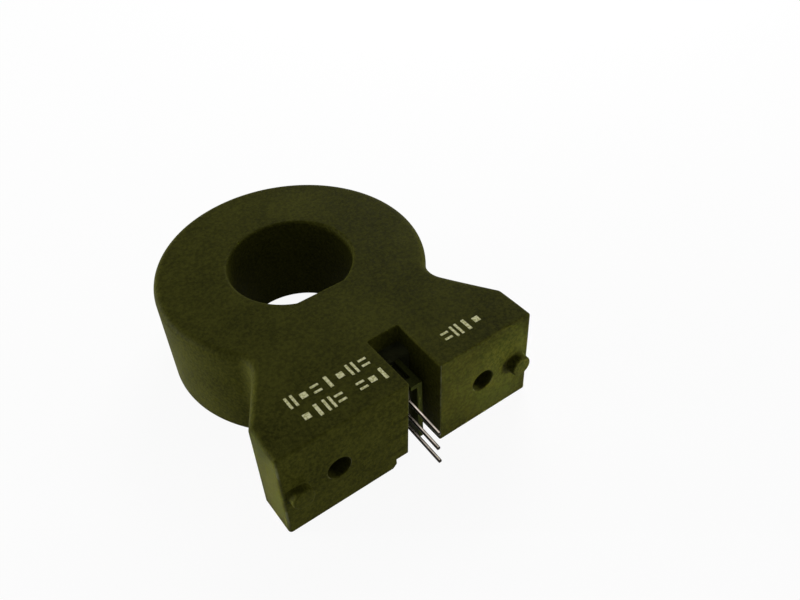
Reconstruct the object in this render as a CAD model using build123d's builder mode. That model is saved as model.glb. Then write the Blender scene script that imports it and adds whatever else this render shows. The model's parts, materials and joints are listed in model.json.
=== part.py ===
"""Hall effect current sensor: a ring housing on a slotted mounting base, with three leads.

Millimetres. The origin is on the bore's axis at the back face that the part lies on.
+Z runs along the bore towards the printed front, and the mounting face looks along -Y.
"""
import os
from math import radians, tan

from build123d import *

os.makedirs("parts", exist_ok=True)

# Ring, from the bore outwards: wall, pocket with the core in it, wall
bore_radius = 7.95
bore_flat_step = 0.72      # flat on the base's side, this much nearer the axis
bore_wall = 1.2
core_clearance = 0.2       # on each side of the core
core_width = 6.15
outer_wall = 1.5

# Thickness, from the back: cover, pad, core, front wall
cover_thickness = 1.2
pad_thickness = 1.0
lamination_count = 18
lamination_thickness = 0.5
front_wall = 1.7

# Outline of the base
base_width = 34.4
shoulder_height = 5.45     # straight side of the base
shoulder_radius = 1.0
flank_angle = 31.0         # lean of the flanks from the Y axis, in degrees
waist_radius = 3.0         # hollow where a flank runs into the ring

# Edges of the moulding
rim_radius = 0.9           # outer edge of the front
bore_rim_radius = 0.4
front_edge_radius = 0.25   # front edge above the mounting face

# Slot for the sensing element, off centre in the base
slot_left = -0.45          # at the front
slot_width = 4.3           # at the front
slot_left_lean = 0.6       # its walls lean towards the left block, from front to back
slot_right_lean = 0.25
slot_depth = 8.1
slot_end_wall = 2.2        # between the slot and the core's pocket
relief_width = 1.7         # low step beside the slot, open to the back
relief_height = 1.4
relief_depth = 3.0
relief_chamfer = 0.6

# Fixing features of the mounting face
fixing_height = 6.05       # middle of the holes and pins above the back
screw_spacing = 20.2
screw_hole_radius = 1.5
screw_hole_depth = 7.0
locating_pin_margin = 2.0  # from the base's side to a pin's middle
locating_pin_radius = 1.35
locating_pin_length = 1.2
locating_pin_chamfer = 0.2

# Cover's seat and the core's air gap
inner_seat = 0.5           # ledge that carries the cover inside and outside the pocket
outer_seat = 0.7
cover_clearance = 0.05
core_gap = 3.4

# Carrier: the plate in the slot that stiffens the sensing element
carrier_thickness = 0.64
carrier_offset = 0.35      # its middle, to the right of the slot's middle
carrier_recess = 1.65      # its front edge behind the mounting face
carrier_sink = 3.0         # its top below the front
carrier_foot = 0.3         # its lower edge in the slot
inner_foot_rise = 0.3      # lower edge inside the housing, above the core's back
lip_length = 1.3
lip_width = 0.9
lip_thickness = 0.6

# Sensing element
substrate_thickness = 0.64
substrate_recess = 1.0     # behind the carrier's front edge
substrate_top_step = 0.7   # below the carrier's top
substrate_end_gap = 0.5    # short of the pocket's inner wall
chip_size = 1.4
chip_thickness = 0.2
cap_size = 4.2
cap_height = 0.8
cap_wall = 0.3

# Resin that seals the slot's end wall
window_clearance = 0.45
resin_depth = 2.15
resin_cover = 0.5          # resin above the carrier's top
resin_foot = 0.25

# Leads
lead_pitch = 2.54
lead_thickness = 0.42
lead_reach = 4.1           # tips beyond the mounting face
lead_droop = 0.45          # from the feet to the tips
lead_bend_radius = 0.28
lead_stand_off = 0.58      # from the substrate's face to a lead's middle
middle_lead_bow = 0.2      # the middle lead runs this much nearer the slot's wall
lead_row_drop = 0.75       # middle lead's foot below half the thickness
supply_crest_rise = 0.4    # hump of the supply lead above the carrier's top
supply_crest_setback = 0.35
solder_spread = 0.3
solder_height = 0.4
solder_taper = 30.0

# Print on the front
ink_thickness = 0.05
ink_stroke = 0.3
ink_square = 0.8
ink_post = 0.4
mark_width = 1.0
mark_height = 1.75
first_row_height = 5.7     # rows above the mounting face
second_row_height = 3.05
side_row_height = 3.25
first_row_pitch = 1.55
second_row_pitch = 1.385
side_row_pitch = 1.45
print_slot_margin = 0.8    # from the slot to the end of the second row
first_row_setback = 0.75   # first row ends this much further from the slot
side_row_margin = 2.85


# Places worked out from the sizes above
pocket_inner = bore_radius + bore_wall
core_inner = pocket_inner + core_clearance
core_outer = core_inner + core_width
pocket_outer = core_outer + core_clearance
ring_radius = pocket_outer + outer_wall
core_middle_radius = (core_inner + core_outer) / 2
slot_middle = slot_left + slot_width / 2
slot_back = -pocket_outer - slot_end_wall
base_drop = slot_depth - slot_back

core_bottom = cover_thickness + pad_thickness
pocket_roof = core_bottom + lamination_count * lamination_thickness
core_middle_height = (core_bottom + pocket_roof) / 2
housing_thickness = pocket_roof + front_wall
middle_height = housing_thickness / 2
locating_pin_spacing = base_width - 2 * locating_pin_margin

carrier_left = slot_middle + carrier_offset - carrier_thickness / 2
carrier_right = carrier_left + carrier_thickness
carrier_front = carrier_recess - base_drop
carrier_top = housing_thickness - carrier_sink
inner_foot = core_bottom + inner_foot_rise
substrate_left = carrier_left - substrate_thickness
substrate_front = carrier_front + substrate_recess
substrate_back = -pocket_inner - substrate_end_gap
substrate_top = carrier_top - substrate_top_step
window_x = (substrate_left - window_clearance, carrier_right + window_clearance)
window_top = carrier_top + window_clearance
resin_front = slot_back - resin_depth
lead_x = substrate_left - lead_stand_off
lead_foot_y = (substrate_front + resin_front) / 2
lead_tip_y = -base_drop - lead_reach
lead_row_height = middle_height - lead_row_drop
supply_crest = carrier_top + supply_crest_rise


def block(x_range, y_range, z_range, mode=Mode.ADD):
    """Rectangular block between three pairs of limits, in the part being built."""
    spans = [high - low for low, high in (x_range, y_range, z_range)]
    with Locations((x_range[0], y_range[0], z_range[0])):
        Box(*spans, align=(Align.MIN, Align.MIN, Align.MIN), mode=mode)


def ring(inner, outer, bottom, top, mode=Mode.ADD):
    """Flat ring about the bore's axis, in the part being built."""
    with BuildSketch(Plane.XY.offset(bottom)) as section:
        Circle(outer)
        Circle(inner, mode=Mode.SUBTRACT)
    extrude(section.sketch, amount=top - bottom, mode=mode)


def gapped_ring(bottom, top):
    """C-shaped ring of the core's outline, its gap in line with the slot."""
    ring(core_inner, core_outer, bottom, top)
    gap_x = (slot_middle - core_gap / 2, slot_middle + core_gap / 2)
    block(gap_x, (-core_outer, 0), (bottom, top), Mode.SUBTRACT)


def slot_sides(height):
    """Left and right limits of the slot at a height above the back."""
    depth_share = 1 - height / housing_thickness
    left = slot_left - slot_left_lean * depth_share
    right = slot_left + slot_width - slot_right_lean * depth_share
    return left, right


def slot_block(y_range, z_range, mode=Mode.ADD):
    """Block that fills the slot between two places along Y and two heights."""
    low, high = z_range
    with BuildSketch(Plane.XZ.offset(-y_range[1])) as section:
        with BuildLine():
            Polyline(
                (slot_sides(low)[0], low),
                (slot_sides(low)[1], low),
                (slot_sides(high)[1], high),
                (slot_sides(high)[0], high),
                close=True,
            )
        make_face()
    extrude(section.sketch, amount=y_range[1] - y_range[0], mode=mode)


def finish(part, name):
    """Label a finished piece and write it."""
    part.label = name
    export_step(part, f"parts/{name}.step")


# Housing: ring, base and locating pins in one moulding
with BuildPart() as housing:
    with BuildSketch() as outline:
        Circle(ring_radius)
        half_width = base_width / 2
        shoulder_y = shoulder_height - base_drop
        flank_end_y = -ring_radius / 2
        flank_end_x = half_width - tan(radians(flank_angle)) * (flank_end_y - shoulder_y)
        with BuildLine():
            Polyline(
                (0, -base_drop),
                (half_width, -base_drop),
                (half_width, shoulder_y),
                (flank_end_x, flank_end_y),
                (0, flank_end_y),
                close=True,
            )
        make_face()
        mirror(about=Plane.YZ)
        corners = outline.vertices().sort_by(Axis.Y)
        fillet(corners[4:6], waist_radius)
        fillet(corners[2:4], shoulder_radius)
    extrude(amount=housing_thickness)
    front_edges = housing.faces().sort_by(Axis.Z)[-1].edges()
    straight_edges = front_edges.group_by(Axis.Y)[0]
    fillet([edge for edge in front_edges if edge not in straight_edges], rim_radius)
    with BuildSketch() as bore:
        Circle(bore_radius)
        flat_y = bore_flat_step - bore_radius
        with Locations((0, flat_y)):
            Rectangle(2 * bore_radius, bore_radius, align=(Align.CENTER, Align.MAX), mode=Mode.SUBTRACT)
    extrude(bore.sketch, amount=housing_thickness, mode=Mode.SUBTRACT)
    front_face = housing.faces().sort_by(Axis.Z)[-1]
    fillet(front_face.inner_wires()[0].edges(), bore_rim_radius)

    # The slot runs through the whole thickness, with a low step beside it
    slot_block((-base_drop, slot_back), (0, housing_thickness), Mode.SUBTRACT)
    mounting_face_edges = housing.faces().group_by(Axis.Y)[0].edges()
    fillet(mounting_face_edges.group_by(Axis.Z)[-1], front_edge_radius)
    mounting_plane = Plane.XZ.offset(base_drop)
    with BuildSketch(mounting_plane):
        relief_left = slot_sides(0)[0] - relief_width
        with BuildLine():
            Polyline(
                (slot_middle, 0),
                (relief_left - relief_chamfer, 0),
                (relief_left, relief_chamfer),
                (relief_left, relief_height),
                (slot_middle, relief_height),
                close=True,
            )
        make_face()
    extrude(amount=-relief_depth, mode=Mode.SUBTRACT)

    # Pocket for the core, the cover's seat, and the window from the slot
    ring(pocket_inner, pocket_outer, 0, pocket_roof, Mode.SUBTRACT)
    seat_inner = pocket_inner - inner_seat
    seat_outer = pocket_outer + outer_seat
    ring(seat_inner, seat_outer, 0, cover_thickness, Mode.SUBTRACT)
    block(window_x, (slot_back, -core_middle_radius), (0, window_top), Mode.SUBTRACT)

    # Blind screw holes, and locating pins outside them
    with BuildSketch(mounting_plane):
        with Locations((0, fixing_height)):
            with GridLocations(screw_spacing, 0, 2, 1):
                Circle(screw_hole_radius)
    extrude(amount=-screw_hole_depth, mode=Mode.SUBTRACT)
    with BuildSketch(mounting_plane):
        with Locations((0, fixing_height)):
            with GridLocations(locating_pin_spacing, 0, 2, 1):
                Circle(locating_pin_radius)
    extrude(amount=locating_pin_length)
    pin_tips = housing.faces().group_by(Axis.Y)[0]
    chamfer(pin_tips.edges(), locating_pin_chamfer)
finish(housing.part, "housing")


# Back cover: a ring in its seat, with a tongue that closes the window
with BuildPart() as back_cover:
    ring(seat_inner + cover_clearance, seat_outer - cover_clearance, 0, cover_thickness)
    tongue_x = (window_x[0] + cover_clearance, window_x[1] - cover_clearance)
    block(tongue_x, (slot_back, -pocket_outer), (0, cover_thickness))
finish(back_cover.part, "back_cover")


# Soft pad that presses the core against the front wall
with BuildPart() as core_pad:
    gapped_ring(cover_thickness, core_bottom)
finish(core_pad.part, "core_pad")


# Core laminations, stacked from the pad to the front wall
for number in range(lamination_count):
    lamination_bottom = core_bottom + number * lamination_thickness
    with BuildPart() as lamination:
        gapped_ring(lamination_bottom, lamination_bottom + lamination_thickness)
    finish(lamination.part, f"core_lamination_{number + 1:02d}")


# Carrier: stiffening plate with a lip over the supply lead's foot
with BuildPart() as carrier:
    step_y = slot_back - window_clearance
    with BuildSketch(Plane.YZ.offset(carrier_left)):
        with BuildLine():
            Polyline(
                (carrier_front, carrier_foot),
                (carrier_front, carrier_top),
                (-pocket_outer, carrier_top),
                (-pocket_outer, inner_foot),
                (step_y, inner_foot),
                (step_y, carrier_foot),
                close=True,
            )
        make_face()
    extrude(amount=carrier_thickness)
    lip_x = (carrier_left - lip_width, carrier_left)
    lip_y = (carrier_front, carrier_front + lip_length)
    block(lip_x, lip_y, (carrier_top - lip_thickness, carrier_top))
finish(carrier.part, "sensor_carrier")


# Ceramic substrate: lies on the carrier and reaches into the core's gap
with BuildPart() as substrate:
    block(
        (substrate_left, carrier_left),
        (substrate_front, substrate_back),
        (inner_foot, substrate_top),
    )
finish(substrate.part, "hall_substrate")


# Hall chip in the middle of the core's gap, and the cap over it
with BuildPart() as chip:
    with Locations((substrate_left - chip_thickness / 2, -core_middle_radius, core_middle_height)):
        Box(chip_thickness, chip_size, chip_size)
finish(chip.part, "hall_chip")

with BuildPart() as chip_cap:
    cavity_depth = cap_height - cap_wall
    cavity_size = cap_size - 2 * cap_wall
    with Locations((substrate_left - cap_height / 2, -core_middle_radius, core_middle_height)):
        Box(cap_height, cap_size, cap_size)
    with Locations((substrate_left - cavity_depth / 2, -core_middle_radius, core_middle_height)):
        Box(cavity_depth, cavity_size, cavity_size, mode=Mode.SUBTRACT)
finish(chip_cap.part, "chip_cap")


# Resin: a plug in the window and a bed against the slot's end wall
with BuildPart() as resin:
    resin_top = carrier_top + resin_cover
    slot_block((resin_front, slot_back), (resin_foot, resin_top))
    block(window_x, (slot_back, -pocket_outer), (cover_thickness, window_top))
    add(carrier.part, mode=Mode.SUBTRACT)
    add(substrate.part, mode=Mode.SUBTRACT)
finish(resin.part, "resin_seal")


# Leads: each rises from its solder joint, bends and runs out past the mounting face
def lead_route(height, bow, crest=None):
    """Corners of one lead's centre line; a crest adds the hump beside the lip."""
    run_x = lead_x - bow
    route = [(substrate_left, lead_foot_y, height), (run_x, lead_foot_y, height)]
    if crest is not None:
        drooped = (lead_foot_y - carrier_front) / (lead_foot_y - lead_tip_y)
        route.append((run_x, carrier_front + supply_crest_setback, crest))
        route.append((run_x, carrier_front, height - drooped * lead_droop))
    route.append((run_x, lead_tip_y, height - lead_droop))
    return route


lead_routes = {
    "supply": lead_route(lead_row_height + lead_pitch, 0, supply_crest),
    "output": lead_route(lead_row_height, middle_lead_bow),
    "ground": lead_route(lead_row_height - lead_pitch, 0),
}
for name, route in lead_routes.items():
    with BuildPart() as lead:
        with BuildLine() as centre_line:
            FilletPolyline(*route, radius=lead_bend_radius)
        with BuildSketch(Plane(origin=route[0], x_dir=(0, 1, 0), z_dir=(-1, 0, 0))):
            Rectangle(lead_thickness, lead_thickness)
        sweep(path=centre_line.wires()[0])
    finish(lead.part, f"lead_{name}")

    with BuildPart() as solder:
        pad_size = lead_thickness + 2 * solder_spread
        with BuildSketch(Plane(origin=route[0], x_dir=(0, 1, 0), z_dir=(-1, 0, 0))):
            Rectangle(pad_size, pad_size)
        extrude(amount=solder_height, taper=solder_taper)
        add(lead.part, mode=Mode.SUBTRACT)
    finish(solder.part, f"solder_{name}")


# Print: plain bars, dashes, squares and posts in three rows on the front
def mark(shape):
    """One printed shape about the place it is put at."""
    if shape == "bars":
        with GridLocations(mark_width - ink_stroke, 0, 2, 1):
            Rectangle(ink_stroke, mark_height)
    elif shape == "dashes":
        with GridLocations(0, mark_height / 2, 1, 2):
            Rectangle(mark_width, ink_stroke)
    elif shape == "square":
        Rectangle(ink_square, ink_square)
    elif shape == "post":
        Rectangle(ink_post, mark_height)


def row_length(pitch, shapes):
    """Length of a row of printed shapes."""
    return mark_width + (len(shapes) - 1) * pitch


def row(left, height, pitch, shapes):
    """A row of printed shapes from its left end, by its height above the mounting face."""
    for place, shape in enumerate(shapes):
        with Locations((left + mark_width / 2 + place * pitch, height - base_drop)):
            mark(shape)


first_row = ["bars", "square", "dashes", "post", "square", "bars", "dashes"]
second_row = ["square", "post", "bars", "dashes", "blank", "dashes", "square", "post"]
side_row = ["dashes", "bars", "post", "square"]
with BuildPart() as ink:
    with BuildSketch(Plane.XY.offset(housing_thickness)):
        second_row_end = slot_left - print_slot_margin
        second_row_left = second_row_end - row_length(second_row_pitch, second_row)
        first_row_end = second_row_end - first_row_setback
        first_row_left = first_row_end - row_length(first_row_pitch, first_row)
        side_row_left = slot_left + slot_width + side_row_margin
        row(first_row_left, first_row_height, first_row_pitch, first_row)
        row(second_row_left, second_row_height, second_row_pitch, second_row)
        row(side_row_left, side_row_height, side_row_pitch, side_row)
    extrude(amount=ink_thickness)
finish(ink.part, "ink_marks")
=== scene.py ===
"""Looks of a hall effect current sensor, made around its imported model.

Shapes are worked out in millimetres and become metres when their mesh is made.
The origin is on the bore's axis at the back face, +Z runs towards the printed front,
and the mounting face looks along -Y.
"""
import json
import math

import bmesh
import bpy
import numpy as np
from mathutils import Matrix, Vector
from mathutils.geometry import tessellate_polygon


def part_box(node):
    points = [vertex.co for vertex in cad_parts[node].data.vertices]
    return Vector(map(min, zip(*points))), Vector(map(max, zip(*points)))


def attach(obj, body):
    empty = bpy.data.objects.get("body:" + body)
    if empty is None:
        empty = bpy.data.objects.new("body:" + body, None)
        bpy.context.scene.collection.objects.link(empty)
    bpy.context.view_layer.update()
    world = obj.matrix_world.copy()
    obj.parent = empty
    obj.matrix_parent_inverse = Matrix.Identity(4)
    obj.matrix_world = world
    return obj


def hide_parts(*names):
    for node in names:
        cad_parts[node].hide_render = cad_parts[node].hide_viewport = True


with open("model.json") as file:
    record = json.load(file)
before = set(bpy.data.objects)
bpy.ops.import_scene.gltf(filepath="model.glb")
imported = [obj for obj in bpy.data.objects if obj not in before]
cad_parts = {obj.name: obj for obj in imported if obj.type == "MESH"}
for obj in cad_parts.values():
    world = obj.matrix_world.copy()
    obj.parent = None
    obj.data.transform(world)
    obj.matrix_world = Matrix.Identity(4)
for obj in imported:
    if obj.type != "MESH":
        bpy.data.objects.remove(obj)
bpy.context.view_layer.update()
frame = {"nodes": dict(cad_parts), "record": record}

METRES = 0.001             # metres in a millimetre
X, Y, Z = range(3)
EDGE_STRIP = 0.05          # flat strip beside each rounding, which keeps the flats' shading flat
POLE_RADIUS = 0.02         # opening at the middle of a turned end, which a flat face closes
BEYOND = 1.0               # how far a cutter reaches past what it cuts
SAME_PLACE = 1e-9          # a point nearer than this to the mounting face lies on it
MERGE_DISTANCE = 1e-7      # in metres: nearer points of a piece become one
SHORTEST_EDGE = 1e-8       # in metres: shorter edges are taken out

# Steps of the outlines and of the surfaces carried along them
ROUNDING_STEPS = 8
BACK_STEPS = 3
SMALL_STEPS = 5
LEAD_CORNER_STEPS = 4
LEAD_BEND_STEPS = 6
FLANK_STEPS = 6
SLOT_CORNER_STEPS = 6
PIN_TIP_STEPS = 6
STRAIGHT_STEPS = 12
WAIST_STEPS = 16
HOLE_STEPS = 64
BORE_STEPS = 180
RING_STEPS = 200
TURNING_STEPS = 216
WALL_ROW = BACK_STEPS + 2  # row of a wall's section at which its straight run starts


def node_box(name):
    """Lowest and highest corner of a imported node, in millimetres."""
    low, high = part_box(name)
    return np.array(low) / METRES, np.array(high) / METRES


# Sizes read from the frame
mounts = {mount["name"]: mount for mount in frame["record"]["mounts"]}
housing_low, housing_high = node_box("housing")
cover_high = node_box("back_cover")[1]
core_high = node_box("core_lamination_18")[1]
pad_low, pad_high = node_box("core_pad")
carrier_low, carrier_high = node_box("sensor_carrier")
substrate_low, substrate_high = node_box("hall_substrate")
resin_low, resin_high = node_box("resin_seal")

ring_radius = housing_high[1]
half_width = housing_high[0]
thickness = housing_high[2]
front_y = mounts["screw_holes"]["pos_m"][1] / METRES
fixing_height = mounts["screw_holes"]["pos_m"][2] / METRES
screw_x = mounts["screw_holes"]["dims"]["spacing_x_mm"] / 2
screw_radius = mounts["screw_holes"]["dims"]["hole_r_mm"]
pin_x = mounts["locating_pin_right"]["pos_m"][0] / METRES
pin_radius = mounts["locating_pin_right"]["dims"]["r_mm"]
pin_length = front_y - housing_low[1]
pocket_roof = core_high[2]
pocket_outer = -resin_high[1]

# Sizes of the moulding that the frame doesn't give
bore_radius = 7.95
bore_flat_y = -7.23        # flat of the bore, on the base's side
bore_wall = 1.2
inner_seat = 0.5
outer_seat = 0.7
shoulder_height = 5.45
shoulder_radius = 1.0
flank_angle = math.radians(31.0)
waist_radius = 3.0
screw_hole_depth = 7.0
window_clearance = 0.45
slot_left = -0.45          # at the front
slot_right = 3.85
slot_left_lean = 0.6       # towards the left block, from front to back
slot_right_lean = 0.25
slot_end_wall = 2.2
relief_width = 1.7
relief_height = 1.4
relief_depth = 3.0
relief_chamfer = 0.6

slot_back = -pocket_outer - slot_end_wall
pocket_inner = bore_radius + bore_wall
shoulder_y = front_y + shoulder_height
window_x = (substrate_low[0] - window_clearance, carrier_high[0] + window_clearance)
window_top = carrier_high[2] + window_clearance

# Roundings of the moulding's edges
rim_radius = 1.0
side_rim_radius = 0.45
front_rim_radius = 0.28
slot_rim_radius = 0.14
bore_rim_radius = 0.4
bore_corner_radius = 0.6
back_edge_radius = 0.12
front_corner_radius = 0.42
slot_mouth_radius = 0.22
slot_corner_radius = 0.25
hole_rim_radius = 0.14
pin_root_radius = 0.18
pin_tip_radius = 0.25


def arc(centre, radius, start, end, steps):
    """Points of a circle's arc: centre plus radius times the cosine and sine of even angles."""
    angle = np.linspace(start, end, steps + 1)
    return np.stack([centre[0] + radius * np.cos(angle), centre[1] + radius * np.sin(angle)], 1)


def rounded_corner(before, corner, after, radius, steps):
    """Arc that rounds a corner: it touches both sides at radius times the half turn's tangent."""
    arriving = (corner - before) / np.linalg.norm(corner - before)
    leaving = (after - corner) / np.linalg.norm(after - corner)
    turn = math.atan2(arriving[0] * leaving[1] - arriving[1] * leaving[0], arriving @ leaving)
    reach = radius * math.tan(abs(turn) / 2)
    side = math.copysign(1.0, turn)
    centre = corner - arriving * reach + side * radius * np.array([-arriving[1], arriving[0]])
    start = math.atan2(*(corner - arriving * reach - centre)[::-1])
    return arc(centre, radius, start, start + turn, steps)


def even_run(start, end, steps):
    """Points strictly between two ends of a straight run, evenly spaced."""
    share = np.linspace(0, 1, steps + 1)[1:-1, None]
    return start + share * (end - start)


def outward(path):
    """Outward unit normals of a closed counterclockwise path, at its points.

    Each is the mean of the two sides' right-hand normals, lengthened so that an
    offset along it keeps both sides parallel.
    """
    sides = np.roll(path, -1, 0) - path
    sides /= np.linalg.norm(sides, axis=1)[:, None]
    right = np.stack([sides[:, 1], -sides[:, 0]], 1)
    mean = (right + np.roll(right, 1, 0)) / 2
    return mean / np.sum(mean * mean, 1)[:, None]


class Shell:
    """Gathers the surfaces of one piece, and joins them into one closed mesh."""

    def __init__(self):
        self.points = []
        self.faces = []
        self.count = 0

    def add(self, points, faces):
        """Adds points, and faces that count from the first of them."""
        self.points.append(points)
        self.faces += [tuple(face) for face in (np.asarray(faces) + self.count).tolist()]
        self.count += len(points)

    def grid(self, surface, keep=None):
        """Adds a grid of points, rows by columns, as quads between neighbours.

        Its last column joins its first. keep is a mask of the quads.
        """
        rows, columns = surface.shape[:2]
        row, column = np.meshgrid(np.arange(rows - 1), np.arange(columns), indexing="ij")
        beside = (column + 1) % columns
        quads = np.stack(
            [
                row * columns + column,
                row * columns + beside,
                (row + 1) * columns + beside,
                (row + 1) * columns + column,
            ],
            -1,
        )
        chosen = quads.reshape(-1, 4) if keep is None else quads[keep]
        self.add(surface.reshape(-1, 3), chosen)

    def flat(self, *loops):
        """Adds a flat face within the first loop, with a hole for each other loop."""
        triangles = tessellate_polygon([[Vector(point) for point in loop] for loop in loops])
        self.add(np.concatenate(loops), triangles)

    def tube(self, surface):
        """Adds a grid, and flat faces that close its first and last rows."""
        self.grid(surface)
        self.flat(surface[0])
        self.flat(surface[-1])

    def mesh(self, name):
        """The joined mesh in metres, its doubles merged and its faces outwards."""
        made = bpy.data.meshes.new(name)
        made.from_pydata((np.concatenate(self.points) * METRES).tolist(), [], self.faces)
        work = bmesh.new()
        work.from_mesh(made)
        bmesh.ops.remove_doubles(work, verts=work.verts, dist=MERGE_DISTANCE)
        bmesh.ops.dissolve_degenerate(work, edges=work.edges, dist=SHORTEST_EDGE)
        bmesh.ops.recalc_face_normals(work, faces=work.faces)
        work.to_mesh(made)
        work.free()
        return made


def piece(name, mesh, materials, slot, *nodes, sharp=30.0):
    """An object that rides on the body, takes its slot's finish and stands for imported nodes."""
    mesh.polygons.foreach_set("use_smooth", np.ones(len(mesh.polygons), bool))
    mesh.set_sharp_from_angle(angle=math.radians(sharp))
    mesh.materials.clear()
    mesh.materials.append(materials[slot])
    made = bpy.data.objects.new(name, mesh)
    bpy.context.scene.collection.objects.link(made)
    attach(made, "root")
    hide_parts(*nodes)


def combined(mesh, other, operation):
    """Mesh of one solid cut by, or joined to, another: an exact Boolean of the two."""
    first = bpy.data.objects.new("first", mesh)
    second = bpy.data.objects.new("second", other)
    for made in (first, second):
        bpy.context.scene.collection.objects.link(made)
    boolean = first.modifiers.new("boolean", "BOOLEAN")
    boolean.operation = operation
    boolean.solver = "EXACT"
    boolean.object = second
    graph = bpy.context.evaluated_depsgraph_get()
    result = bpy.data.meshes.new_from_object(first.evaluated_get(graph))
    bpy.data.objects.remove(first)
    bpy.data.objects.remove(second)
    return result


def rounding(start, end, steps=ROUNDING_STEPS):
    """Cosine and sine of even angles from start to end, in degrees."""
    angle = np.radians(np.linspace(start, end, steps + 1))
    return np.cos(angle), np.sin(angle)


def revolved(profile, steps, about="z", centre=(0.0, 0.0, 0.0)):
    """Turned surface: a profile of radius and height goes round an axis.

    About z the height runs along +Z. About y it runs along -Y, out of the mounting face.
    """
    angle = np.linspace(0, 2 * math.pi, steps, endpoint=False)
    radius = profile[:, 0, None]
    height = profile[:, 1, None] + 0 * angle
    across, along = radius * np.cos(angle), radius * np.sin(angle)
    if about == "z":
        surface = np.stack([across, along, height], -1)
    else:
        surface = np.stack([across, -height, along], -1)
    return surface + np.array(centre)


def prism(outline, low, high, axis):
    """Straight prism: a closed outline, moved along one axis from low to high."""
    shell = Shell()
    order = {"x": (2, 0, 1), "y": (0, 2, 1), "z": (0, 1, 2)}[axis]
    ends = [np.column_stack([outline, np.full(len(outline), level)]) for level in (low, high)]
    shell.grid(np.stack(ends)[..., order])
    for end in ends:
        shell.flat(end[:, order])
    return shell


def box_mesh(name, x_range, y_range, z_range):
    """Block between three pairs of limits."""
    (left, right), (near, far) = x_range, y_range
    outline = np.array([(left, near), (right, near), (right, far), (left, far)])
    return prism(outline, *z_range, "z").mesh(name)


# Housing
def side_outline():
    """Right side of the outline, its rim's radius at each point, and the angle where the ring starts.

    It goes from the front corner round the shoulder and along the flank to the waist, whose
    centre lies a waist radius outside both flank and ring. The rim grows evenly round the
    front corner, and from there to the waist by 3 times the square less 2 times the cube.
    """
    flank = np.array([-math.sin(flank_angle), math.cos(flank_angle)])
    flank_normal = np.array([math.cos(flank_angle), math.sin(flank_angle)])
    corner = np.array([half_width, front_y])
    shoulder = np.array([half_width, shoulder_y])
    offset = shoulder + waist_radius * flank_normal
    along = flank @ offset
    reach = -along - math.sqrt(along**2 - offset @ offset + (ring_radius + waist_radius) ** 2)
    waist_centre = offset + reach * flank
    ring_start = math.atan2(waist_centre[1], waist_centre[0])
    middle = np.array([0.0, front_y])
    front_run = rounded_corner(middle, corner, shoulder, front_corner_radius, ROUNDING_STEPS)
    shoulder_run = rounded_corner(corner, shoulder, shoulder + flank, shoulder_radius, ROUNDING_STEPS)
    waist_run = arc(waist_centre, waist_radius, flank_angle + math.pi, ring_start + math.pi, WAIST_STEPS)
    side_points = even_run(front_run[-1], shoulder_run[0], STRAIGHT_STEPS)
    flank_points = even_run(shoulder_run[-1], waist_run[0], FLANK_STEPS)
    path = np.concatenate([front_run, side_points, shoulder_run, flank_points, waist_run])

    share = np.clip((path[:, 1] - front_run[-1, 1]) / (waist_run[0, 1] - front_run[-1, 1]), 0, 1)
    smooth = share * share * (3 - 2 * share)
    rim = side_rim_radius + (rim_radius - side_rim_radius) * smooth
    rim[: len(front_run)] = np.linspace(front_rim_radius, side_rim_radius, len(front_run))
    return path, rim, ring_start


def front_outline(start, end):
    """Left block's face, slot and right block's face, with the rim's radius and the lean.

    It runs between the front corners' ends, which stay upright. The slot's walls lean.
    """
    turns = np.array(
        [
            (-half_width, front_y),
            (slot_left, front_y),
            (slot_left, slot_back),
            (slot_right, slot_back),
            (slot_right, front_y),
            (half_width, front_y),
        ]
    )
    radii = (slot_mouth_radius, slot_corner_radius, slot_corner_radius, slot_mouth_radius)
    corners = [
        rounded_corner(before, turn, after, radius, SLOT_CORNER_STEPS)
        for before, turn, after, radius in zip(turns, turns[1:], turns[2:], radii)
    ]
    strip = np.array([EDGE_STRIP, 0])
    left_face = [start + strip, corners[0][0] - strip]
    right_face = [corners[-1][-1] + strip, end - strip]
    path = np.concatenate([left_face, *corners, right_face])
    rim = np.full(len(path), slot_rim_radius)
    rim[[0, -1]] = front_rim_radius
    lean = np.where(path[:, 0] < (slot_left + slot_right) / 2, slot_left_lean, slot_right_lean)
    lean[[0, -1]] = 0
    return path, rim, lean


def housing_outline():
    """Outline of the moulding, with its rim's radius and its lean at each point.

    It runs counterclockwise: right side, ring, the side mirrored, and the front.
    """
    right, right_rim, ring_start = side_outline()
    ring = arc((0, 0), ring_radius, ring_start, math.pi - ring_start, RING_STEPS)[1:-1]
    left = right[::-1] * (-1, 1)
    front, front_rim, front_lean = front_outline(left[-1], right[0])
    path = np.concatenate([right, ring, left, front])
    rim = np.concatenate([right_rim, np.full(len(ring), rim_radius), right_rim[::-1], front_rim])
    lean = np.concatenate([np.zeros(len(path) - len(front)), front_lean])
    return path, rim, lean


def bore_outline():
    """Outline of the bore, counterclockwise: a circle's arc, and a flat with eased corners."""
    inner = bore_radius - bore_corner_radius
    centre_y = bore_flat_y + bore_corner_radius
    centre_x = math.sqrt(inner**2 - centre_y**2)
    angle = math.atan2(centre_y, centre_x)
    right = arc((centre_x, centre_y), bore_corner_radius, -math.pi / 2, angle, SMALL_STEPS)
    round_part = arc((0, 0), bore_radius, angle, math.pi - angle, BORE_STEPS)[1:-1]
    left = right[::-1] * (-1, 1)
    flat = even_run(left[-1], right[0], STRAIGHT_STEPS)
    return np.concatenate([right, round_part, left, flat])


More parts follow.
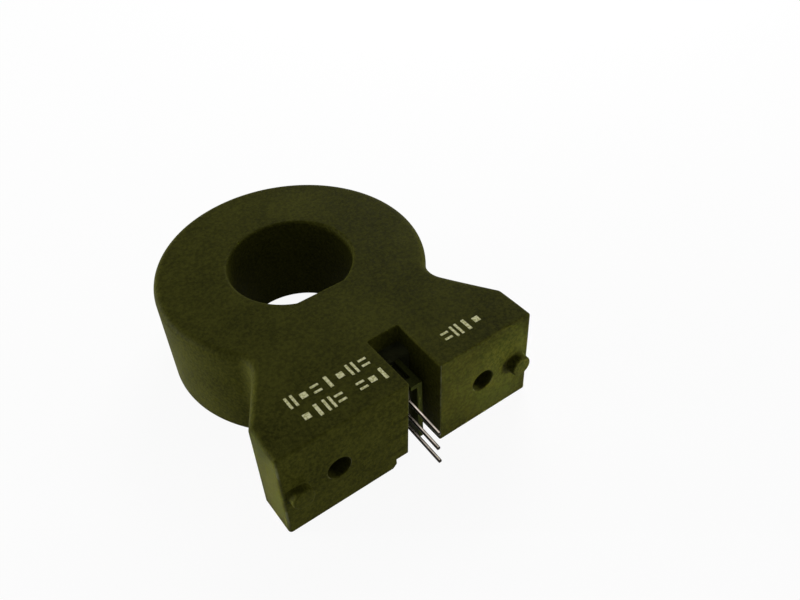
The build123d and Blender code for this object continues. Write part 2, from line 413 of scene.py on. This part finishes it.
def wall_section(rim):
    """Inset and height of a wall's rows, from back to front, for each point's rim radius.

    It has a small quarter round at the back, a straight run, and a quarter round at the
    front: inset by radius less radius times the angle's cosine, raised by radius times its
    sine. A flat strip lies beside each round.
    """
    back = back_edge_radius
    back_across, back_up = rounding(-90, 0, BACK_STEPS)
    across, up = rounding(0, 90)
    inset = [back + EDGE_STRIP, *(back - back * back_across), 0, 0]
    inset += [*(rim - rim * across[:, None]), rim + EDGE_STRIP]
    height = [0, *(back + back * back_up), back + EDGE_STRIP, thickness - rim - EDGE_STRIP]
    height += [*(thickness - rim + rim * up[:, None]), thickness]
    points = 0 * rim
    return np.array([row + points for row in inset]), np.array([row + points for row in height])


def wall(path, rim, into):
    """Wall of the moulding: its section carried along an outline, inset along the normals.

    into is -1 where the moulding lies inside the outline, and 1 where it lies outside.
    """
    inset, height = wall_section(rim)
    flat = path + into * inset[..., None] * outward(path)
    return np.concatenate([flat, height[..., None]], -1)


def pocket_profile():
    """Radius and height of the core's pocket, from its outer edge to its inner one.

    The cover's seat widens it at the back face.
    """
    seat = cover_high[2]
    return np.array(
        [
            (pocket_outer + outer_seat, 0),
            (pocket_outer + outer_seat, seat),
            (pocket_outer, seat),
            (pocket_outer, pocket_roof),
            (pocket_inner, pocket_roof),
            (pocket_inner, seat),
            (pocket_inner - inner_seat, seat),
            (pocket_inner - inner_seat, 0),
        ]
    )


def eased_foot(radius, rim, side):
    """Radius and height of the round between the mounting face and a hole or a pin.

    side is -1 for a hole, which goes below the face, and 1 for a pin, which stands on it.
    """
    across, up = rounding(0, 90, SMALL_STEPS)
    quarter = np.stack([radius + rim - rim * up, side * (rim - rim * across)], 1)
    return np.concatenate([[(radius + rim + EDGE_STRIP, 0)], quarter])


def hole_profile():
    """Radius and height of a screw hole: eased rim, straight wall and flat bottom."""
    bottom = [(screw_radius, -screw_hole_depth), (POLE_RADIUS, -screw_hole_depth)]
    return np.concatenate([eased_foot(screw_radius, hole_rim_radius, -1), bottom])


def pin_profile():
    """Radius and height of a locating pin: eased root and rounded tip."""
    shoulder = np.array([pin_radius - pin_tip_radius, pin_length - pin_tip_radius])
    tip = shoulder + pin_tip_radius * np.stack(rounding(0, 90, PIN_TIP_STEPS), 1)
    root = eased_foot(pin_radius, pin_root_radius, 1)
    return np.concatenate([root, tip, [(POLE_RADIUS, pin_length)]])


def add_block_face(shell, border, side):
    """Adds a block's face, flat within its border, with its screw hole and locating pin.

    side is 1 for the right block and -1 for the left one.
    """
    loops = [border]
    for profile, x in ((hole_profile(), screw_x), (pin_profile(), pin_x)):
        turned = revolved(profile, HOLE_STEPS, "y", (side * x, front_y, fixing_height))
        shell.grid(turned)
        shell.flat(turned[-1])
        loops.append(turned[0])
    shell.flat(*loops)


def window_cutter():
    """Block from the slot into the pocket, which opens the wall between them."""
    pocket_middle = (pad_low[1] - pocket_inner) / 2
    return box_mesh("window", window_x, (slot_back - BEYOND, pocket_middle), (-BEYOND, window_top))


def relief_cutter():
    """Prism along Y that cuts the low step at the left block's foot, beside the slot's mouth."""
    left = slot_left - slot_left_lean - relief_width
    outline = np.array(
        [
            (slot_left + BEYOND, -BEYOND),
            (slot_left + BEYOND, relief_height),
            (left, relief_height),
            (left, relief_chamfer),
            (left - relief_chamfer - BEYOND, -BEYOND),
        ]
    )
    return prism(outline, front_y - BEYOND, front_y + relief_depth, "y").mesh("relief")


def housing_mesh():
    """Moulding: walls round its outline and bore, a turned pocket, and flat faces between."""
    path, rim, lean = housing_outline()
    outside = wall(path, rim, -1)
    outside[..., 0] -= lean * (1 - outside[..., 2] / thickness)
    pocket = revolved(pocket_profile(), TURNING_STEPS)
    bore_path = bore_outline()
    bore = wall(bore_path, np.full(len(bore_path), bore_rim_radius), 1)

    # A block's face is a straight run longer than its hole and pin together, and the wall
    # leaves it out
    run_length = np.linalg.norm(np.roll(path, -1, 0) - path, axis=1)
    at_front = np.abs(path[:, 1] - front_y) < SAME_PLACE
    face_runs = np.flatnonzero(at_front & (run_length > 2 * (screw_radius + pin_radius)))
    keep = np.ones((len(outside) - 1, len(path)), bool)
    keep[WALL_ROW, face_runs] = False

    shell = Shell()
    shell.grid(outside, keep=keep)
    shell.grid(pocket)
    shell.grid(bore)
    shell.flat(outside[-1], bore[-1])
    shell.flat(outside[0], pocket[0])
    shell.flat(pocket[-1], bore[0])
    low, high = outside[WALL_ROW], outside[WALL_ROW + 1]
    for run in face_runs:
        after = (run + 1) % len(path)
        border = np.array([low[run], low[after], high[after], high[run]])
        add_block_face(shell, border, math.copysign(1.0, path[run, 0] + path[after, 0]))
    solid = combined(shell.mesh("housing_moulding"), window_cutter(), "DIFFERENCE")
    return combined(solid, relief_cutter(), "DIFFERENCE")


# Shader maths
class Wire:
    """A socket in a material's node tree. Sums and products of wires add Math nodes."""

    def __init__(self, tree, socket=None):
        self.tree = tree
        self.socket = socket

    def node(self, kind, settings=None, inputs=None, output=0):
        """Adds a node of a type: its settings first, then its sockets' values or links."""
        made = self.tree.nodes.new(kind)
        for name, value in (settings or {}).items():
            setattr(made, name, value)
        for name, value in (inputs or {}).items():
            if isinstance(value, Wire):
                self.tree.links.new(value.socket, made.inputs[name])
            else:
                made.inputs[name].default_value = value
        return Wire(self.tree, made.outputs[output])

    def math(self, operation, *others):
        """Adds a Math node on this wire and other wires or numbers."""
        values = dict(enumerate((self, *others)))
        return self.node("ShaderNodeMath", {"operation": operation}, values)

    def __add__(self, other):
        return self.math("ADD", other)

    __radd__ = __add__

    def __sub__(self, other):
        return self.math("SUBTRACT", other)

    def __rsub__(self, other):
        return (self * -1.0) + other

    def __mul__(self, other):
        return self.math("MULTIPLY", other)

    __rmul__ = __mul__

    def between(self, low, high):
        """The wire spread from low..high to 0..1, held there and eased at both ends."""
        settings = {"interpolation_type": "SMOOTHSTEP"}
        inputs = {"Value": self, "From Min": low, "From Max": high}
        return self.node("ShaderNodeMapRange", settings, inputs)

    def blend(self, first, second):
        """Colour that goes from the first to the second as this wire goes from 0 to 1.

        A Mix node takes its two colours at sockets 6 and 7, and gives their mix at output 2.
        """
        return self.node("ShaderNodeMix", {"data_type": "RGBA"}, {0: self, 6: first, 7: second}, 2)

    def noise(self, scale, detail=2.0, roughness=0.5):
        """Noise at places along this vector, with a number of features a millimetre."""
        inputs = {"Vector": self, "Scale": scale, "Detail": detail, "Roughness": roughness}
        return self.node("ShaderNodeTexNoise", {}, inputs)

    def bump(self, depth, strength=1.0):
        """Normals of a relief of this wire's height, with its depth in millimetres."""
        inputs = {"Height": self, "Distance": depth * METRES, "Strength": strength}
        return self.node("ShaderNodeBump", {}, inputs)


def colour(red, green, blue):
    """A shade with full cover."""
    return (red, green, blue, 1.0)


class Finish:
    """A material in the making: its shader, and places on the piece in millimetres."""

    def __init__(self, name):
        self.material = bpy.data.materials.new(name)
        self.material.use_nodes = True
        tree = self.material.node_tree
        self.shader = tree.nodes["Principled BSDF"]
        where = Wire(tree).node("ShaderNodeTexCoord", output="Object")
        settings = {"operation": "SCALE"}
        self.place = where.node("ShaderNodeVectorMath", settings, {0: where, "Scale": 1 / METRES})

    def normal_part(self, axis):
        """Part of the surface's unit normal along X, Y or Z."""
        normal = self.place.node("ShaderNodeTexCoord", output="Normal")
        return normal.node("ShaderNodeSeparateXYZ", {}, {"Vector": normal}, axis)

    def place_part(self, axis):
        """Place along X, Y or Z, in millimetres."""
        return self.place.node("ShaderNodeSeparateXYZ", {}, {"Vector": self.place}, axis)

    def stretched(self, x, y, z):
        """Places with each axis scaled, for grain that runs one way."""
        settings = {"operation": "MULTIPLY"}
        return self.place.node("ShaderNodeVectorMath", settings, {0: self.place, 1: (x, y, z)})

    def done(self, **sockets):
        """Sets or links the shader's sockets, named with underscores, and gives the material."""
        for name, value in sockets.items():
            socket = self.shader.inputs[name.replace("_", " ")]
            if isinstance(value, Wire):
                self.material.node_tree.links.new(value.socket, socket)
            else:
                socket.default_value = value
        return self.material


def painted_top_shade(finish, shade):
    """Painted shade on faces that look up: their colour goes a quarter of the way to black.

    It sets in as the normal's height goes from 0.5 to 0.9.
    """
    painted_shade_share = 0.25 * finish.normal_part(Z).between(0.5, 0.9)
    return painted_shade_share.blend(shade, colour(0.0, 0.0, 0.0))


def painted_base_light(finish, shade):
    """Painted light of the base: a painted highlight on upright corners beside the mounting face, and
    painted shade in the screw holes.

    A corner is where the product of the normal's x and y parts passes 0.25 to 0.5, up to
    half a millimetre behind the face, and its painted highlight lies in patches. A hole is what lies
    behind the face within its rim, by the square of the distance from its axis.
    """
    depth = finish.place_part(Y) - front_y
    corner = (finish.normal_part(X) * finish.normal_part(Y)).math("ABSOLUTE").between(0.25, 0.5)
    patch = 0.2 + 0.8 * finish.place.noise(0.5, detail=3.0).between(0.42, 0.6)
    # painted highlight: upright corners beside the mounting face made pale, in patches
    painted_highlight = 0.5 * patch * corner * depth.between(0.0, 0.03) * depth.between(0.5, 0.25)
    # painted shade inside the screw holes, setting in past the rim
    across = finish.place_part(X).math("ABSOLUTE") - screw_x
    above = finish.place_part(Z) - fixing_height
    reach = screw_radius + hole_rim_radius
    painted_hole_shade = (across * across + above * above).between(reach**2, screw_radius**2) * depth.between(0.1, 0.4)
    wear_and_highlight = painted_highlight.blend(shade, colour(0.16, 0.16, 0.09))
    return (0.3 * painted_hole_shade).blend(wear_and_highlight, colour(0.006, 0.006, 0.003))


def moulded_plastic(name, dark, light, specular, rough=0.5, painted_light=None):
    """Moulded plastic: cloudy shade, eroded grain of two sizes and a slow unevenness of gloss.

    The last argument is a function that paints a piece's highlights and shade into its colour.
    """
    finish = Finish(name)
    cloud = finish.place.noise(0.12, detail=3.0).between(0.3, 0.7)
    speck = finish.place.noise(2.6, detail=3.0, roughness=0.65).between(0.3, 0.7)
    grain = finish.place.noise(3.4, detail=3.0, roughness=0.6)
    swell = finish.place.noise(0.9, detail=2.0)
    shade = (0.35 * cloud + 0.65 * speck).blend(colour(*dark), colour(*light))
    if painted_light:
        shade = painted_light(finish, shade)
    return finish.done(
        Base_Color=shade,
        Roughness=rough + 0.1 * swell + 0.08 * speck,
        Specular_IOR_Level=specular,
        Normal=(grain + 0.6 * swell).bump(0.045, strength=0.9),
    )


def solder_alloy():
    """Solder: faint lines along Y, dull patches and a few pits."""
    finish = Finish("solder")
    lines = finish.stretched(9.0, 0.5, 9.0).noise(2.0, detail=3.0)
    patch = finish.place.noise(1.6, detail=3.0).between(0.4, 0.65)
    pits = finish.place.noise(11.0, detail=2.0)
    return finish.done(
        Base_Color=patch.blend(colour(0.5, 0.48, 0.44), colour(0.3, 0.28, 0.25)),
        Metallic=1.0,
        Roughness=0.35 + 0.16 * patch + 0.1 * lines,
        Normal=(lines + 0.5 * pits).bump(0.01, strength=0.7),
    )


def lead_with_painted_dark_sides():
    """Lead stamped from plated strip: bright on its rolled top and underside, near black on its sheared
    sides, a painted dark reflection over the steel's own dullness.

    The share of plating is the size of the normal's height part, eased from 0.965 to 0.998.
    """
    finish = Finish("tinned_lead")
    upright = finish.normal_part(Z).math("ABSOLUTE")
    lines = finish.stretched(9.0, 0.5, 9.0).noise(2.0, detail=3.0)
    patch = finish.place.noise(1.3, detail=3.0).between(0.35, 0.7)
    plating = patch.blend(colour(0.95, 0.84, 0.73), colour(0.58, 0.51, 0.43))
    plated = upright.between(0.965, 0.998)
    return finish.done(
        # near-black sides: painted dark reflection over sheared steel that is duller than the plating
        Base_Color=plated.blend(colour(0.022, 0.019, 0.014), plating),
        Metallic=1.0,
        Roughness=0.42 - 0.2 * plated + 0.1 * lines,
        Normal=lines.bump(0.01, strength=0.7),
    )


def foam():
    """Closed-cell foam: round cells of a quarter millimetre, pressed in at their middles."""
    finish = Finish("foam")
    cells = finish.place.node("ShaderNodeTexVoronoi", {}, {"Vector": finish.place, "Scale": 4.0})
    shade = cells.between(0.1, 0.7).blend(colour(0.05, 0.05, 0.05), colour(0.16, 0.16, 0.16))
    return finish.done(Base_Color=shade, Roughness=0.9, Normal=cells.bump(0.08))


def sheet_steel():
    """Stamped sheet steel under a grey insulating coat, with fine scratches."""
    finish = Finish("core_steel")
    scratch = finish.stretched(0.6, 8.0, 2.0).noise(2.0, detail=4.0)
    coat = finish.place.noise(0.8, detail=3.0).between(0.35, 0.65)
    return finish.done(
        Base_Color=coat.blend(colour(0.36, 0.37, 0.39), colour(0.46, 0.47, 0.5)),
        Metallic=0.85,
        Roughness=0.38 + 0.2 * coat,
        Normal=scratch.bump(0.008, strength=0.6),
    )


def ceramic(name, dark, light, rough, specular):
    """Fired ceramic: fine even grain with a faint mottle."""
    finish = Finish(name)
    mottle = finish.place.noise(1.4, detail=3.0).between(0.35, 0.65)
    grain = finish.place.noise(14.0, detail=2.0)
    return finish.done(
        Base_Color=mottle.blend(colour(*dark), colour(*light)),
        Roughness=rough + 0.12 * mottle,
        Specular_IOR_Level=specular,
        Normal=grain.bump(0.008, strength=0.7),
    )


def silicon():
    """Polished silicon with a slight blue-violet drift over the die."""
    finish = Finish("chip_silicon")
    drift = finish.place.noise(1.1, detail=1.0).between(0.3, 0.7)
    return finish.done(
        Base_Color=drift.blend(colour(0.07, 0.07, 0.09), colour(0.1, 0.09, 0.13)),
        Metallic=0.3,
        Roughness=0.12 + 0.06 * drift,
    )


def cast_resin():
    """Cast black resin: low swells, a few pinholes and a dull gloss."""
    finish = Finish("resin")
    swell = finish.place.noise(0.7, detail=2.0)
    holes = finish.place.node("ShaderNodeTexVoronoi", {}, {"Vector": finish.place, "Scale": 2.2})
    pinhole = holes.between(0.02, 0.14)
    shade = swell.between(0.3, 0.7)
    return finish.done(
        Base_Color=shade.blend(colour(0.02, 0.021, 0.009), colour(0.032, 0.034, 0.014)),
        Roughness=0.5 + 0.15 * swell,
        Specular_IOR_Level=0.01,
        Normal=(swell + 0.35 * pinhole).bump(0.05, strength=0.6),
    )


def print_ink():
    """Stamped ink: cream, thin at grains of the plastic below, matt."""
    finish = Finish("ink")
    wear_and_highlight = finish.place.noise(4.0, detail=3.0).between(0.35, 0.62)
    return finish.done(
        Base_Color=wear_and_highlight.blend(colour(0.4, 0.4, 0.17), colour(0.72, 0.71, 0.43)),
        Roughness=0.7 + 0.1 * wear_and_highlight,
        Specular_IOR_Level=0.05,
        Normal=wear_and_highlight.bump(0.01, strength=0.5),
    )


def make_materials():
    """The finish of each material slot of the record."""
    housing = moulded_plastic(
        "housing_plastic",
        dark=(0.0175, 0.018, 0.0018),
        light=(0.0535, 0.0545, 0.008),
        specular=0.012,
        rough=0.5,
        # painted highlight on the base's upright corners and painted shade inside its screw holes
        painted_light=painted_base_light,
    )
    cover = moulded_plastic(
        "cover_plastic",
        dark=(0.022, 0.022, 0.005),
        light=(0.048, 0.048, 0.009),
        specular=0.03,
        rough=0.45,
    )
    carrier = moulded_plastic(
        "carrier_plastic",
        dark=(0.023, 0.0275, 0.0055),
        light=(0.039, 0.0445, 0.009),
        specular=0.012,
        rough=0.5,
        # painted shade on the carrier's faces that look up
        painted_light=painted_top_shade,
    )
    substrate = ceramic(
        "substrate_ceramic",
        dark=(0.012, 0.014, 0.005),
        light=(0.022, 0.024, 0.009),
        rough=0.6,
        specular=0.02,
    )
    cap = ceramic(
        "cap_ceramic",
        dark=(0.62, 0.61, 0.56),
        light=(0.76, 0.75, 0.7),
        rough=0.55,
        specular=0.15,
    )
    return {
        "housing_plastic": housing,
        "cover_plastic": cover,
        "foam": foam(),
        "core_steel": sheet_steel(),
        "carrier_plastic": carrier,
        "substrate_ceramic": substrate,
        "chip_silicon": silicon(),
        "cap_ceramic": cap,
        "resin": cast_resin(),
        "tinned_lead": lead_with_painted_dark_sides(),
        "solder": solder_alloy(),
        "ink": print_ink(),
    }


def dress_nodes(materials):
    """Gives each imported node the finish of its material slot."""
    for subpart in frame["record"]["subparts"]:
        mesh = frame["nodes"][subpart["node"]].data
        mesh.materials.clear()
        mesh.materials.append(materials[subpart["material_slot"]])


# Cover
cover_edge_radius = 0.12


def cover_mesh():
    """Back cover: a turned ring whose outer face has eased edges, with its tongue joined on.

    Each eased edge is a quarter round: radius less radius times the cosine and the sine.
    """
    edge = cover_edge_radius
    gap = pocket_outer + outer_seat - cover_high[0]
    inner = pocket_inner - inner_seat + gap
    outer, top = cover_high[1:]
    across, up = rounding(0, 90, BACK_STEPS)
    inner_round = np.stack([inner + edge * (1 - across), edge * (1 - up)], 1)
    outer_round = np.stack([outer - edge * (1 - up), edge * (1 - across)], 1)
    ring = np.concatenate([[(inner, top)], inner_round, outer_round, [(outer, top), (inner, top)]])
    shell = Shell()
    shell.grid(revolved(ring, TURNING_STEPS))
    tongue_x = (window_x[0] + gap, window_x[1] - gap)
    tongue = box_mesh("tongue", tongue_x, (slot_back, -pocket_outer), (0.0, top))
    return combined(shell.mesh("back_cover_ring"), tongue, "UNION")


# Leads
lead_thickness = 0.42
lead_corner_radius = 0.13
lead_bend_radius = 0.28
crest_rise = 0.4
crest_setback = 0.35
tip_setback = 0.016        # the end's square section leans back by this much as the lead droops
tip_steps = np.array([0.12, 0.03, 0.0])     # the last three sections' distances from the end
tip_scale = (1.0, 0.9, 0.62)                # the last three sections' sizes, 1 being full
smallest_part = 1e-3       # a tangent with less than this in y and z runs along X


def bent_path(corners, radius):
    """Path through corners, each rounded by an arc of one radius in its own plane."""
    found = [corners[:1]]
    for before, corner, after in zip(corners, corners[1:], corners[2:]):
        arriving = (corner - before) / np.linalg.norm(corner - before)
        leaving = (after - corner) / np.linalg.norm(after - corner)
        turn = math.acos(arriving @ leaving)
        towards = leaving - arriving * math.cos(turn)
        towards /= np.linalg.norm(towards)
        start = corner - arriving * radius * math.tan(turn / 2)
        angle = np.linspace(0, turn, LEAD_BEND_STEPS + 1)[:, None]
        found.append(start + radius * (np.sin(angle) * arriving + (1 - np.cos(angle)) * towards))
    found.append(corners[-1:])
    return np.concatenate(found)


def lead_corners(node, crested):
    """Corners of a lead's centre line, from its foot on the substrate to its tip.

    A crested lead rises over the carrier's top on its way, and otherwise droops as the
    lowest lead does.
    """
    low, high = node_box(node)
    half = lead_thickness / 2
    run_x = low[0] + half
    foot_y = high[1] - half
    tip = (run_x, low[1] + tip_setback, low[2] + half)
    if not crested:
        foot_z = high[2] - half
        return np.array([(high[0], foot_y, foot_z), (run_x, foot_y, foot_z), tip])
    lowest_low, lowest_high = node_box("lead_ground")
    droop = lowest_high[2] - lowest_low[2] - lead_thickness
    foot_z = tip[2] + droop
    edge_y = carrier_low[1]
    drooped = (foot_y - edge_y) / (foot_y - tip[1])
    return np.array(
        [
            (high[0], foot_y, foot_z),
            (run_x, foot_y, foot_z),
            (run_x, edge_y + crest_setback, carrier_high[2] + crest_rise),
            (run_x, edge_y, foot_z - drooped * droop),
            tip,
        ]
    )


def rounded_square(half, radius):
    """Outline of a square with rounded corners: a quarter circle at each corner in turn."""
    reach = half - radius
    quarters = []
    for turn, (x, y) in enumerate(((1, 1), (-1, 1), (-1, -1), (1, -1))):
        start = turn * math.pi / 2
        end = start + math.pi / 2
        quarters.append(arc((reach * x, reach * y), radius, start, end, LEAD_CORNER_STEPS))
    return np.concatenate(quarters)


def lead_mesh(node, crested):
    """One lead: a square section with rounded corners, carried along a bent centre line.

    The section's first axis is square to X and to the tangent's part in y and z, and its
    second to the first and the tangent. At the tip the section shrinks over two short steps.
    """
    corners = lead_corners(node, crested)
    path = bent_path(corners, lead_bend_radius)
    tip_direction = path[-1] - path[-2]
    tip_direction /= np.linalg.norm(tip_direction)
    path = np.concatenate([path[:-1], path[-1] - tip_steps[:, None] * tip_direction])
    scale = np.ones((len(path), 1, 1))
    scale[-len(tip_scale) :, 0, 0] = tip_scale
    tangent = np.gradient(path, axis=0)
    tangent /= np.linalg.norm(tangent, axis=1)[:, None]
    planar = tangent * (0, 1, 1)
    planar[np.linalg.norm(planar, axis=1) < smallest_part] = corners[2] - corners[1]
    planar /= np.linalg.norm(planar, axis=1)[:, None]
    first = np.cross((-1.0, 0.0, 0.0), planar)
    second = np.cross(tangent, first)
    section = rounded_square(lead_thickness / 2, lead_corner_radius)
    along_first = scale * section[None, :, 0, None] * first[:, None]
    along_second = scale * section[None, :, 1, None] * second[:, None]
    shell = Shell()
    shell.tube(path[:, None] + along_first + along_second)
    return shell.mesh(node + "_wire")


# Carrier
def carrier_mesh():
    """Carrier: an L-shaped plate across X with the lip joined to its top."""
    foot_rise = 0.3
    lip_length = 1.3
    lip_thickness = 0.6
    inner_foot = pad_high[2] + foot_rise
    step_y = slot_back - window_clearance
    left = substrate_high[0]
    front, back = carrier_low[1], carrier_high[1]
    foot, top = carrier_low[2], carrier_high[2]
    outline = np.array(
        [
            (front, foot),
            (step_y, foot),
            (step_y, inner_foot),
            (back, inner_foot),
            (back, top),
            (front, top),
        ]
    )
    plate = prism(outline, left, carrier_high[0], "x").mesh("carrier_plate")
    lip = box_mesh("lip", (carrier_low[0], left), (front, front + lip_length), (top - lip_thickness, top))
    return combined(plate, lip, "UNION")


# Resin and solder
resin_edge_radius = 0.5
resin_sag = 0.12           # how far the resin's skin lies below its rim at the slot's walls
resin_sections = 25
solder_rings = 13
solder_steps = 48
solder_hollow = 2.4        # power by which a joint's side hollows towards its lead


def resin_mesh():
    """Resin bed: a section in y and z, carried from one leaning wall of the slot to the other.

    Its top front edge is a quarter round. Top and front sink along their normals by the
    sag times one less the fourth power of the place, from -1 at one wall to 1 at the other.
    """
    front, foot, top = resin_low[1], resin_low[2], resin_high[2]
    x, z = rounding(180, 90)
    rounded = np.stack([front + resin_edge_radius * (1 + x), top - resin_edge_radius * (1 - z)], 1)
    section = np.concatenate([[(slot_back, foot), (front, foot)], rounded, [(slot_back, top)]])
    inward = np.concatenate([[(0, 0), (0, 0)], np.stack([-x, -z], 1), [(0, -1)]])
    place = np.linspace(-1, 1, resin_sections)[:, None]
    sunk = section + resin_sag * (1 - place[..., None] ** 4) * inward
    lean = 1 - sunk[..., 1] / thickness
    left, right = slot_left - slot_left_lean * lean, slot_right - slot_right_lean * lean
    across = left + (right - left) * (1 + place) / 2
    shell = Shell()
    shell.tube(np.concatenate([across[..., None], sunk], -1))
    plug_y = (slot_back - resin_edge_radius, -pocket_outer)
    plug = box_mesh("plug", window_x, plug_y, (cover_high[2], window_top))
    return combined(shell.mesh("resin_bed"), plug, "UNION")


def solder_mesh(node):
    """Solder joint round a lead's foot: rings of a rounded square that shrink as it rises.

    A ring's half width goes from the pad's to the lead's by the hollow's power of what is
    left of the height. Its outline is the fourth-power circle.
    """
    low, high = node_box(node)
    centre = (low + high) / 2
    pad, neck = (high[1] - low[1]) / 2, lead_thickness / 2
    share = np.linspace(0, 1, solder_rings)[:, None]
    angle = np.linspace(0, 2 * math.pi, solder_steps, endpoint=False)
    round_square = (np.cos(angle) ** 4 + np.sin(angle) ** 4) ** -0.25
    reach = (neck + (pad - neck) * (1 - share) ** solder_hollow) * round_square
    x = high[0] - (high[0] - low[0]) * share + 0 * reach
    shell = Shell()
    shell.tube(np.stack([x, centre[1] + reach * np.cos(angle), centre[2] + reach * np.sin(angle)], -1))
    return shell.mesh(node + "_joint")


# Camera, floor and light
photo_width = 800
photo_focal = 819.68       # focal length, in pixels of the photograph's width
eye = (-33.55, -73.84, 79.27)
aim = (10.503, -8.866, 6.4)
camera_roll = -3.004       # degrees, from level


def make_camera():
    """The photograph's camera: level axes about the line of sight, turned by the roll."""
    forward = (Vector(aim) - Vector(eye)).normalized()
    level_right = forward.cross(Vector((0, 0, 1))).normalized()
    level_up = level_right.cross(forward)
    roll = math.radians(camera_roll)
    right = level_right * math.cos(roll) + level_up * math.sin(roll)
    up = right.cross(forward)
    data = bpy.data.cameras.new("camera")
    data.sensor_width = 36.0
    data.lens = data.sensor_width * photo_focal / photo_width
    data.clip_start = 0.005
    made = bpy.data.objects.new("camera", data)
    turn = Matrix((right, up, -forward)).transposed()
    made.matrix_world = Matrix.Translation(Vector(eye) * METRES) @ turn.to_4x4()
    bpy.context.scene.collection.objects.link(made)
    bpy.context.scene.camera = made


def seen_directly(tree):
    """1 for rays of the camera, of gloss and of glass, else 0: the three shares' sum, at most 1."""
    camera_ray = Wire(tree).node("ShaderNodeLightPath", output="Is Camera Ray")
    rays = camera_ray.socket.node.outputs
    seen = camera_ray + Wire(tree, rays["Is Glossy Ray"]) + Wire(tree, rays["Is Transmission Ray"])
    return seen.math("MINIMUM", 1.0)


def make_floor(size=2.0, share=0.93):
    """Pale floor. A camera ray sees mostly plain white, and a share of the shadow."""
    mesh = bpy.data.meshes.new("floor")
    half = size / 2
    corners = [(-half, -half, 0), (half, -half, 0), (half, half, 0), (-half, half, 0)]
    mesh.from_pydata(corners, [], [(0, 1, 2, 3)])
    material = bpy.data.materials.new("floor")
    material.use_nodes = True
    tree = material.node_tree
    shader = tree.nodes["Principled BSDF"]
    shader.inputs["Base Color"].default_value = colour(0.9, 0.9, 0.9)
    shader.inputs["Roughness"].default_value = 0.9
    shader.inputs["Specular IOR Level"].default_value = 0.0
    wire = Wire(tree)
    seen = seen_directly(tree)
    white = wire.node("ShaderNodeEmission", {}, {"Color": colour(1, 1, 1), "Strength": 1.0})
    lit = Wire(tree, shader.outputs[0])
    mixed = wire.node("ShaderNodeMixShader", {}, {0: seen * share, 1: lit, 2: white})
    tree.links.new(mixed.socket, tree.nodes["Material Output"].inputs["Surface"])
    mesh.materials.append(material)
    floor = bpy.data.objects.new("floor", mesh)
    bpy.context.scene.collection.objects.link(floor)


def make_world(strength=0.3):
    """Even grey light all round, white where the camera, gloss or glass sees it."""
    world = bpy.data.worlds.new("world")
    world.use_nodes = True
    tree = world.node_tree
    shine = strength + (1 - strength) * seen_directly(tree)
    tree.links.new(shine.socket, tree.nodes["Background"].inputs["Strength"])
    tree.nodes["Background"].inputs["Color"].default_value = colour(1, 1, 1)
    bpy.context.scene.world = world


def softbox(name, place, target, width, height, power, spread=180.0):
    """Area light at a place, turned to a target: size in millimetres, spread in degrees."""
    data = bpy.data.lights.new(name, "AREA")
    data.shape = "RECTANGLE"
    data.size = width * METRES
    data.size_y = height * METRES
    data.energy = power
    data.spread = math.radians(spread)
    made = bpy.data.objects.new(name, data)
    towards = Vector(target) - Vector(place)
    turn = towards.to_track_quat("-Z", "Y").to_matrix().to_4x4()
    made.matrix_world = Matrix.Translation(Vector(place) * METRES) @ turn
    bpy.context.scene.collection.objects.link(made)


def make_lights():
    """A box above the far right, low wide ones at the far left and right front, and two beams.

    One narrow beam meets the left block's side, and one the right block's face.
    """
    softbox("overhead", (150, 130, 130), (0, -5, 12), width=120, height=120, power=0.36)
    softbox("left", (-240, 196, 22), (0, -5, 6), width=200, height=40, power=1.35)
    softbox("left_low", (-181, 100, 14), (-17, -23, 6), width=8, height=8, power=0.0008, spread=6.0)
    softbox("front", (205, -215, 9), (0, -26, 6), width=380, height=18, power=0.64)
    softbox("right_front", (120, -160, 14), (13, -26, 7), width=8, height=8, power=0.0006, spread=6.5)


make_camera()
materials = make_materials()
dress_nodes(materials)
piece("housing_moulding", housing_mesh(), materials, "housing_plastic", "housing")
piece("back_cover_ring", cover_mesh(), materials, "cover_plastic", "back_cover")
piece("sensor_carrier_plate", carrier_mesh(), materials, "carrier_plastic", "sensor_carrier")
for node in ("lead_supply", "lead_output", "lead_ground"):
    mesh = lead_mesh(node, node == "lead_supply")
    piece(node + "_wire", mesh, materials, "tinned_lead", node, sharp=50.0)
    solder = node.replace("lead", "solder")
    piece(solder + "_joint", solder_mesh(solder), materials, "solder", solder)
piece("resin_bed", resin_mesh(), materials, "resin", "resin_seal")
make_floor()
make_world()
make_lights()

bpy.context.scene.view_settings.view_transform = "Standard"
